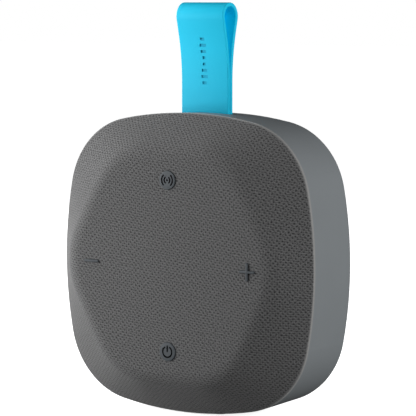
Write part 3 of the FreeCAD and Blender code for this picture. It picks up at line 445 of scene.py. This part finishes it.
def bump(tree, shader, height, distance, strength=1.0):
    """Raises the surface by that height."""
    made = node(tree, "ShaderNodeBump", Strength=strength, Distance=distance)
    tree.links.new(height, made.inputs["Height"])
    tree.links.new(made.outputs[0], shader.inputs["Normal"])


def noise(tree, vector, scale, detail=2.0):
    """The noise of that scale; returns its output."""
    made = node(tree, "ShaderNodeTexNoise", Scale=scale, Detail=detail)
    tree.links.new(vector, made.inputs["Vector"])
    return made.outputs["Fac"]


def rib_phase(tree, across, up, ribs):
    """The running phase of one set of parallel ribs, in radians."""
    turns = [2 * math.pi * count / MM for count in ribs]
    return maths(tree, "ADD", maths(tree, "MULTIPLY", across, turns[0]),
                 maths(tree, "MULTIPLY", up, turns[1]))


def ripple(tree, phase, shift, share):
    """One cosine of the weave."""
    return maths(tree, "MULTIPLY", maths(tree, "COSINE", maths(tree, "ADD", phase, shift)),
                 share)


def knit_finish():
    """Two crossing sets of ribs with a dark hole at every second crossing, unevenly spun."""
    material, tree, shader = finish("knitted_cloth", 0.92)
    cloth_map = tree.nodes.new("ShaderNodeUVMap")
    cloth_map.uv_map = "cloth"
    wander = node(tree, "ShaderNodeTexNoise", Scale=pull_scale, Detail=2.0)
    tree.links.new(cloth_map.outputs[0], wander.inputs["Vector"])
    pulled = tree.nodes.new("ShaderNodeVectorMath")
    pulled.operation = "MULTIPLY_ADD"
    tree.links.new(wander.outputs["Color"], pulled.inputs[0])
    pulled.inputs[1].default_value = (pull_size,) * 3
    tree.links.new(cloth_map.outputs[0], pulled.inputs[2])
    apart = tree.nodes.new("ShaderNodeSeparateXYZ")
    tree.links.new(pulled.outputs[0], apart.inputs[0])
    rising = rib_phase(tree, apart.outputs[0], apart.outputs[1], rising_ribs)
    falling = rib_phase(tree, apart.outputs[0], apart.outputs[1], falling_ribs)
    crossed = maths(tree, "SUBTRACT", rising, falling)
    upright = maths(tree, "ADD", rising, falling)
    twice = maths(tree, "MULTIPLY", falling, 2.0)
    weave = ripple(tree, rising, 0.0, rising_share)
    for phase, wave in ((falling, falling_wave), (crossed, crossed_wave),
                        (upright, upright_wave), (twice, twice_wave)):
        weave = maths(tree, "ADD", weave, ripple(tree, phase, *wave))
    uneven = maths(tree, "SUBTRACT", noise(tree, cloth_map.outputs[0], uneven_scale), 0.5)
    weave = maths(tree, "ADD", weave, maths(tree, "MULTIPLY", uneven, uneven_share))
    thread = node(tree, "ShaderNodeMapRange", From_Min=weave_low, From_Max=weave_high)
    tree.links.new(weave, thread.inputs["Value"])
    thread.interpolation_type = "SMOOTHSTEP"
    shade = colour_mix(tree, thread.outputs[0], hole_grey, thread_grey)
    place = tree.nodes.new("ShaderNodeSeparateXYZ")
    tree.links.new(tree.nodes.new("ShaderNodeTexCoord").outputs["Object"], place.inputs[0])
    # Painted highlight: the cloth's base colour lightens on its edge just in front of the seam,
    # as if the rim caught the light.
    turned = node(tree, "ShaderNodeMapRange", From_Min=seam_y - highlight_start,
                  From_Max=seam_y - highlight_full)
    tree.links.new(place.outputs[1], turned.inputs["Value"])
    highlighted = colour_mix(tree, turned.outputs[0], thread_grey, rim_highlight_grey)
    tree.links.new(shade, highlighted.node.inputs[6])
    tree.links.new(highlighted, shader.inputs["Base Color"])
    fibre = noise(tree, cloth_map.outputs[0], fibre_scale)
    fuzz = maths(tree, "MULTIPLY", fibre, fibre_share)
    bump(tree, shader, maths(tree, "ADD", fuzz, thread.outputs[0]), knit_relief, 0.7)
    shader.inputs["Sheen Weight"].default_value = 0.20
    shader.inputs["Sheen Roughness"].default_value = 0.45
    shader.inputs["Specular IOR Level"].default_value = 0.20
    return material


cloth.data.materials.clear()
cloth.data.materials.append(knit_finish())
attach(cloth, "root")
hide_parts("fabric_cover")

# ---- Keys ----
# Two round caps and a plus and a minus, moulded in grey plastic with a satin top. Each has
# a flange behind the grille and pushes a small switch. The icons are sunk and painted.
key_proud = 0.4 * MM
sign_proud = 0.55 * MM
key_edge = 0.12 * MM
icon_line = 0.62 * MM
icon_depth = 0.15 * MM
key_grey = (0.052, 0.060, 0.067)
icon_black = (0.002, 0.0025, 0.003)
icon_field = 2.8 * MM          # radius that holds a whole icon
icon_dot = 0.4 * MM
waves = ((1.22 * MM, 50), (2.36 * MM, 47))   # radius and half angle of each pair
power_ring, power_start, power_end = 1.98 * MM, 124, 416
power_bar_half, power_bar_lift, power_bar_corner = 1.25 * MM, 1.15 * MM, 0.2 * MM
flange_radius = 4.6 * MM
flange_thickness = 0.7 * MM
hair = 0.01 * MM


def ground(tree):
    """The piece's own coordinates."""
    return tree.nodes.new("ShaderNodeTexCoord").outputs["Object"]


def moulded(name, colour, roughness, grain=2500.0, depth=0.02 * MM, spread=0.06, patch=0.10,
            metallic=0.0, shine=0.5):
    """Moulded or coated stock: fine grain, faint patches of colour and uneven gloss."""
    material, tree, shader = finish(name, roughness, metallic)
    place = ground(tree)
    cloudy = noise(tree, place, 60.0, 3.0)
    lighter = tuple(min(1.0, c * (1 + patch)) for c in colour)
    darker = tuple(c * (1 - patch) for c in colour)
    tree.links.new(colour_mix(tree, cloudy, darker, lighter), shader.inputs["Base Color"])
    gloss = node(tree, "ShaderNodeMapRange", To_Min=roughness - spread,
                 To_Max=roughness + spread)
    tree.links.new(cloudy, gloss.inputs["Value"])
    tree.links.new(gloss.outputs[0], shader.inputs["Roughness"])
    bump(tree, shader, noise(tree, place, grain), depth)
    shader.inputs["Specular IOR Level"].default_value = shine
    return material


key_finish = moulded("key_satin", key_grey, 0.6, shine=0.2)
icon_finish = moulded("icon_paint", icon_black, 0.9, shine=0.08)


def arc_bar(radius, width, start, end, steps=18):
    """The outline of a bar bent round the key's centre, with round ends; in degrees."""
    half = width / 2
    points = []
    for step in range(steps + 1):
        turn = math.radians(start + (end - start) * step / steps)
        points.append(((radius + half) * math.cos(turn), (radius + half) * math.sin(turn)))
    for step in range(1, 6):
        points.append(end_cap(radius, half, math.radians(end), math.pi * step / 6))
    for step in range(steps + 1):
        turn = math.radians(end + (start - end) * step / steps)
        points.append(((radius - half) * math.cos(turn), (radius - half) * math.sin(turn)))
    for step in range(1, 6):
        points.append(end_cap(radius, half, math.radians(start), math.pi * (1 + step / 6)))
    return points


def end_cap(radius, half, turn, swing):
    """A point of the round end of a bent bar."""
    return (radius * math.cos(turn) + half * math.cos(turn + swing),
            radius * math.sin(turn) + half * math.sin(turn + swing))


def pair_icon():
    """A dot between two pairs of waves."""
    bars = [arc_bar(reach, icon_line, side - sweep, side + sweep)
            for reach, sweep in waves for side in (0, 180)]
    return [circle(icon_dot, 24)] + bars


def power_icon():
    """An open ring with an upright bar in its gap."""
    bar = [(x, z + power_bar_lift)
           for x, z in bar_outline(icon_line / 2, power_bar_half, power_bar_corner)]
    return [arc_bar(power_ring, icon_line, power_start, power_end, 48), bar]


def key_piece(name, outline, proud, icon, place):
    """A cap with a softened top edge, its icon sunk into the top and its flange behind."""
    top = seam_y - dome_depth - proud
    flange_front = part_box("key_" + name)[1].y - flange_thickness
    cap = prism("cap_" + name, outline, top, flange_front, place)
    edge = cap.modifiers.new("edge", "BEVEL")
    edge.width = key_edge
    edge.segments = 3
    edge.limit_method = "ANGLE"
    edge.angle_limit = math.radians(60)
    settle(cap)
    if icon:
        carve(cap, [prism("icon", shape, top - MM, top + icon_depth, place) for shape in icon])
    cap.data.materials.clear()
    cap.data.materials.append(key_finish)
    cap.data.materials.append(icon_finish)
    for face in cap.data.polygons:
        x, z = face.center.x - place[0], face.center.z - centre.z - place[1]
        sunk = top + hair < face.center.y < top + icon_depth + hair
        if icon and sunk and math.hypot(x, z) < icon_field:
            face.material_index = 1
    smooth(cap, 40)
    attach(cap, "key_" + name)
    flange = prism("flange_" + name, circle(flange_radius, 48), flange_front,
                   flange_front + flange_thickness, place)
    flange.data.materials.append(key_finish)
    smooth(flange, 40)
    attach(flange, "key_" + name)
    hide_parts("key_" + name)


key_piece("pair", circle(key_radius), key_proud, pair_icon(), (0, key_height))
key_piece("power", circle(key_radius), key_proud, power_icon(), (0, -key_height))
key_piece("plus", sign_outline(0, True), sign_proud, [], (key_side, 0))
key_piece("minus", sign_outline(0, False), sign_proud, [], (-key_side, 0))


def dress(material, *names):
    """Gives CAD nodes their finish."""
    for name in names:
        slots = frame["nodes"][name].data.materials
        slots.clear()
        slots.append(material)


# ---- Rear shell and charging door ----
# A one-piece tub of ABS with a soft-touch rubber coat. The charging door in its left side
# is the same grey elastomer over a hard core, and turns on a steel pin at its top edge.
shell_grey = (0.171, 0.186, 0.195)
shell_finish = moulded("soft_touch_coat", shell_grey, 0.52, grain=3800.0, depth=0.012 * MM,
                       spread=0.05, patch=0.03)
dress(shell_finish, "rear_shell")
dress(moulded("door_elastomer", tuple(c * 0.9 for c in shell_grey), 0.6), "port_door",
      "port_seal")

# ---- Rear grille, radiator and pads ----
# A powder-coated steel disc with arc slots covers the passive radiator in the back. Four
# silicone pads over the case screws and a bar under the case are its feet.
dress(moulded("powder_coat", (0.045, 0.049, 0.053), 0.5, grain=5200.0, depth=0.03 * MM),
      "rear_grille")
dress(moulded("foot_silicone", (0.030, 0.033, 0.036), 0.7, grain=1800.0), "foot_strip",
      "back_pads")
dress(moulded("black_rubber", (0.012, 0.012, 0.013), 0.55), "radiator_surround",
      "cone_surround", "case_gasket", "driver_gasket", "battery_cradle")
dress(moulded("black_plate", (0.03, 0.03, 0.033), 0.35, metallic=0.6), "radiator_plate")

# ---- Strap ----
# A moulded silicone band, doubled and bonded below its loop, whose closed end turns round a
# steel pin in a pocket under the top of the case. Short level bars are pressed into it.
strap_width = 20.7 * MM
strap_skin = 1.5 * MM
strap_slit = 0.1 * MM
strap_edge = 0.35 * MM
loop_radius = 4.35 * MM
loop_lean = math.radians(14.0)
loop_sweep = 78.0 * MM
eye_turn = math.pi / 8           # step round the closed end
mark_count = 8
mark_pitch = 2.3 * MM
mark_width = 1.05 * MM
mark_longest = 2.9 * MM
mark_swing, mark_share = 1.35, 0.33   # how the bars' lengths rise and fall
mark_depth = 0.35 * MM
mark_slack = 0.04 * MM
mark_middle_z = centre.z + 73.6 * MM
strap_blue = (0.016, 0.512, 0.748)
strap_painted_shade = (0.011, 0.372, 0.550)   # painted shade: the band coloured darker towards the case
loop_blue = (0.0, 0.680, 0.900)       # inside the loop, lit through the thin band
let_through = (0.0, 0.050, 0.085)
# painted shade: the pressed bars are coloured a darker blue than the band, as the shade in their
# hollows
mark_painted_shade_blue = (0.008, 0.360, 0.540)

loop_low, loop_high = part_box("strap_loop")
pin_low, pin_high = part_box("strap_pin")
strap_y = (loop_low.y + loop_high.y) / 2
half_gap = (strap_skin + strap_slit) / 2
strap_axis_z = next(j["pos_m"][2] for j in frame["joints"] if j["name"] == "strap_flex")


def strap_path():
    """(y, z) along the middle of the band: up the front, over the loop and down the back."""
    loop_z = loop_high.z - loop_radius - strap_skin / 2
    run = loop_radius * math.cos(loop_lean) - half_gap - loop_sweep * (1 - math.cos(loop_lean))
    lean_top = loop_z - loop_radius * math.sin(loop_lean)
    lean_foot = lean_top - run / math.tan(loop_lean)
    sweep_foot = lean_foot - loop_sweep * math.sin(loop_lean)
    pin_z = (pin_low.z + pin_high.z) / 2
    eye = (pin_high.z - pin_low.z) / 2 + strap_skin / 2
    side = [(-eye * math.sin(eye_turn * step), pin_z - eye * math.cos(eye_turn * step))
            for step in range(7)]
    neck = pin_z + 2.2 * eye
    for step in range(15):
        side.append((-half_gap, neck + (sweep_foot - neck) * step / 14))
    for step in range(1, 13):
        turn = loop_lean * step / 12
        side.append((-half_gap - loop_sweep * (1 - math.cos(turn)),
                     sweep_foot + loop_sweep * math.sin(turn)))
    foot = side[-1]
    for step in range(1, 6):
        side.append((foot[0] - (lean_top - lean_foot) * math.tan(loop_lean) * step / 5,
                     foot[1] + (lean_top - lean_foot) * step / 5))
    for step in range(1, 15):
        turn = -loop_lean + (math.pi / 2 + loop_lean) * step / 14
        side.append((-loop_radius * math.cos(turn), loop_z + loop_radius * math.sin(turn)))
    back = [(-y, z) for y, z in reversed(side[1:-1])]
    return [(y + strap_y, z) for y, z in side + back]


def strap_band():
    """The band's rounded section carried round the closed path."""
    path = strap_path()
    count = len(path)
    section = bar_outline(strap_width / 2, strap_skin / 2, strap_edge, 4)
    across = len(section)
    vertices, faces = [], []
    for i, (y, z) in enumerate(path):
        before, after = path[i - 1], path[(i + 1) % count]
        along = Vector((0, after[0] - before[0], after[1] - before[1])).normalized()
        out = Vector((0, -along.z, along.y))
        for x, lift in section:
            vertices.append(Vector((x, y, z)) + out * lift)
        for k in range(across):
            a, b = i * across, ((i + 1) % count) * across
            faces.append((a + k, a + (k + 1) % across, b + (k + 1) % across, b + k))
    return solid("carry_strap", vertices, faces)


def mark_cutter():
    """A column of short level bars of different lengths, as one cutter."""
    tree = bpy.data.node_groups.new("pressed_marks", "GeometryNodeTree")
    tree.interface.new_socket("Geometry", in_out="OUTPUT", socket_type="NodeSocketGeometry")
    sizes = {}
    for label, value in (("Bar height", mark_width), ("Longest bar", mark_longest),
                         ("Pitch", mark_pitch)):
        socket = tree.interface.new_socket(label, in_out="INPUT",
                                           socket_type="NodeSocketFloat")
        socket.default_value = value
        sizes[label] = (socket.identifier, value)
    count = tree.interface.new_socket("Count", in_out="INPUT", socket_type="NodeSocketInt")
    group_in = tree.nodes.new("NodeGroupInput")
    group_out = tree.nodes.new("NodeGroupOutput")
    line = tree.nodes.new("GeometryNodeMeshLine")
    offset = tree.nodes.new("ShaderNodeCombineXYZ")
    tree.links.new(group_in.outputs["Pitch"], offset.inputs["Z"])
    tree.links.new(group_in.outputs["Count"], line.inputs["Count"])
    tree.links.new(offset.outputs[0], line.inputs["Offset"])
    bar = tree.nodes.new("GeometryNodeMeshCube")
    size = tree.nodes.new("ShaderNodeCombineXYZ")
    size.inputs["Y"].default_value = 2 * MM
    tree.links.new(group_in.outputs["Longest bar"], size.inputs["X"])
    tree.links.new(group_in.outputs["Bar height"], size.inputs["Z"])
    tree.links.new(size.outputs[0], bar.inputs["Size"])
    index = tree.nodes.new("GeometryNodeInputIndex")
    swing = maths(tree, "SINE", maths(tree, "MULTIPLY", index.outputs[0], mark_swing))
    share = maths(tree, "ADD", maths(tree, "MULTIPLY", swing, mark_share), 1 - mark_share)
    scale = tree.nodes.new("ShaderNodeCombineXYZ")
    scale.inputs["Y"].default_value = 1.0
    scale.inputs["Z"].default_value = 1.0
    tree.links.new(share, scale.inputs["X"])
    place = tree.nodes.new("GeometryNodeInstanceOnPoints")
    tree.links.new(line.outputs[0], place.inputs["Points"])
    tree.links.new(bar.outputs[0], place.inputs["Instance"])
    tree.links.new(scale.outputs[0], place.inputs["Scale"])
    real = tree.nodes.new("GeometryNodeRealizeInstances")
    paint = tree.nodes.new("GeometryNodeSetMaterial")
    tree.links.new(place.outputs[0], real.inputs[0])
    tree.links.new(real.outputs[0], paint.inputs[0])
    tree.links.new(paint.outputs[0], group_out.inputs[0])
    cutter = bpy.data.objects.new("marks", bpy.data.meshes.new("marks"))
    bpy.context.scene.collection.objects.link(cutter)
    grow = cutter.modifiers.new("marks", "NODES")
    grow.node_group = tree
    for identifier, value in sizes.values():
        grow[identifier] = value
    grow[count.identifier] = mark_count
    settle(cutter)
    return cutter


def front_of_band(z):
    """The y of the front layer's outer face at that height."""
    path = strap_path()
    front = [p for p in path[:len(path) // 2] if p[1] > strap_axis_z]
    for low, high in zip(front, front[1:]):
        if low[1] <= z <= high[1]:
            share = (z - low[1]) / (high[1] - low[1])
            return low[0] + (high[0] - low[0]) * share - strap_skin / 2
    return front[0][0] - strap_skin / 2


def inside_loop(y, z, normal):
    """True for a face that looks into the loop."""
    loop_z = loop_high.z - loop_radius - strap_skin / 2
    return normal.y * (strap_y - y) + normal.z * (min(z, loop_z) - z) > 0


strap = strap_band()
marks = mark_cutter()
first_mark = mark_middle_z - mark_pitch * (mark_count - 1) / 2
for vertex in marks.data.vertices:
    row = round(vertex.co.z / mark_pitch)
    vertex.co.z += first_mark
    vertex.co.y += front_of_band(first_mark + row * mark_pitch) + mark_depth - MM
carve(strap, [marks])
smooth(strap)


def silicone_finish(name, painted_shade_colour, lit_colour, glow=None):
    """Moulded silicone: a soft, slightly deep blue; painted shade blends it from the first
    colour near the case to the second higher up, along a cloudy edge.
    """
    material, tree, shader = finish(name, 0.5)
    place = ground(tree)
    apart = tree.nodes.new("ShaderNodeSeparateXYZ")
    tree.links.new(place, apart.inputs[0])
    cloudy = maths(tree, "MULTIPLY", noise(tree, place, 90.0, 2.0), 6 * MM)
    # Painted shade: the band is darker near the case and lighter higher up, where more light
    # falls.
    rise = node(tree, "ShaderNodeMapRange", From_Min=strap_axis_z,
                From_Max=strap_axis_z + 24 * MM)
    tree.links.new(maths(tree, "ADD", apart.outputs[2], cloudy), rise.inputs["Value"])
    tree.links.new(colour_mix(tree, rise.outputs[0], painted_shade_colour, lit_colour),
                   shader.inputs["Base Color"])
    bump(tree, shader, noise(tree, place, 3000.0, 2.0), 0.01 * MM)
    shader.inputs["Subsurface Weight"].default_value = 0.03
    shader.inputs["Subsurface Radius"].default_value = (0.1 * MM, 0.3 * MM, 0.5 * MM)
    shader.inputs["Specular IOR Level"].default_value = 0.06
    if glow:
        shader.inputs["Emission Color"].default_value = (*glow, 1)
        shader.inputs["Emission Strength"].default_value = 1.0
    return material


strap.data.materials.clear()
for made in (silicone_finish("blue_silicone", strap_painted_shade, strap_blue),
             silicone_finish("silicone_in_loop", loop_blue, loop_blue, let_through),
             silicone_finish("silicone_marks_painted_shade", mark_painted_shade_blue, mark_painted_shade_blue)):
    strap.data.materials.append(made)
last_mark = first_mark + mark_pitch * (mark_count - 1)
for face in strap.data.polygons:
    x, y, z = face.center
    if z < strap_axis_z + 3 * MM or abs(face.normal.x) > 0.5:
        continue   # in the case, or a side of the band
    sunk = y - front_of_band(z)
    in_row = abs(x) < mark_longest and first_mark - MM < z < last_mark + MM
    # the sunk faces of the bars take the painted shade
    if in_row and mark_slack < sunk < mark_depth + mark_slack:
        face.material_index = 2
    elif sunk > strap_skin / 2 and inside_loop(y, z, face.normal):
        face.material_index = 1
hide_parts("strap_loop", "strap_tail")
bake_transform(strap)

# ---- Inside: mid frame, boards, driver, battery ----
# The frame and housings are black ABS. The driver has a coated steel basket, ferrite
# magnet and plated yoke; boards, chips, leads and a wrapped cell fill the rest.
dress(moulded("black_abs", (0.016, 0.016, 0.017), 0.5), "grille_frame", "mid_frame",
      "radiator_frame", "strap_housing")
dress(moulded("plated_steel", (0.60, 0.61, 0.62), 0.28, grain=900.0, metallic=1.0),
      "driver_top_plate", "driver_yoke", "strap_pin", "port_door_pin", "usb_socket")
dress(moulded("zinc_screw", (0.55, 0.55, 0.54), 0.35, metallic=1.0), "case_screws",
      "key_board_screws", "driver_screws", "board_screws", "radiator_screws")
dress(moulded("basket_coat", (0.02, 0.02, 0.021), 0.45, metallic=0.4), "driver_frame")
dress(moulded("ferrite", (0.035, 0.035, 0.038), 0.6, grain=1200.0, depth=0.05 * MM),
      "driver_magnet")
dress(moulded("copper_winding", (0.60, 0.26, 0.11), 0.3, metallic=0.9), "voice_coil")
dress(moulded("cone_paper", (0.014, 0.014, 0.014), 0.85, grain=1500.0, depth=0.06 * MM),
      "driver_cone", "dust_cap")
dress(moulded("spider_cloth", (0.40, 0.26, 0.10), 0.8, grain=2200.0, depth=0.06 * MM),
      "cone_spider")
dress(moulded("solder_resist", (0.012, 0.075, 0.035), 0.3), "main_board", "key_board",
      "driver_terminals")
dress(moulded("chip_epoxy", (0.02, 0.02, 0.022), 0.5), "main_board_parts",
      "key_board_parts", *["switch_" + name for name in ("pair", "power", "plus", "minus")])
dress(moulded("ivory_nylon", (0.62, 0.58, 0.50), 0.45),
      *["plunger_" + name for name in ("pair", "power", "plus", "minus")])
dress(moulded("ribbon_film", (0.55, 0.36, 0.12), 0.35), "ribbon_cable")
dress(moulded("lead_sheath", (0.30, 0.02, 0.015), 0.45), "driver_leads", "battery_leads")
dress(moulded("cell_wrap", (0.02, 0.10, 0.30), 0.3), "battery_cell")
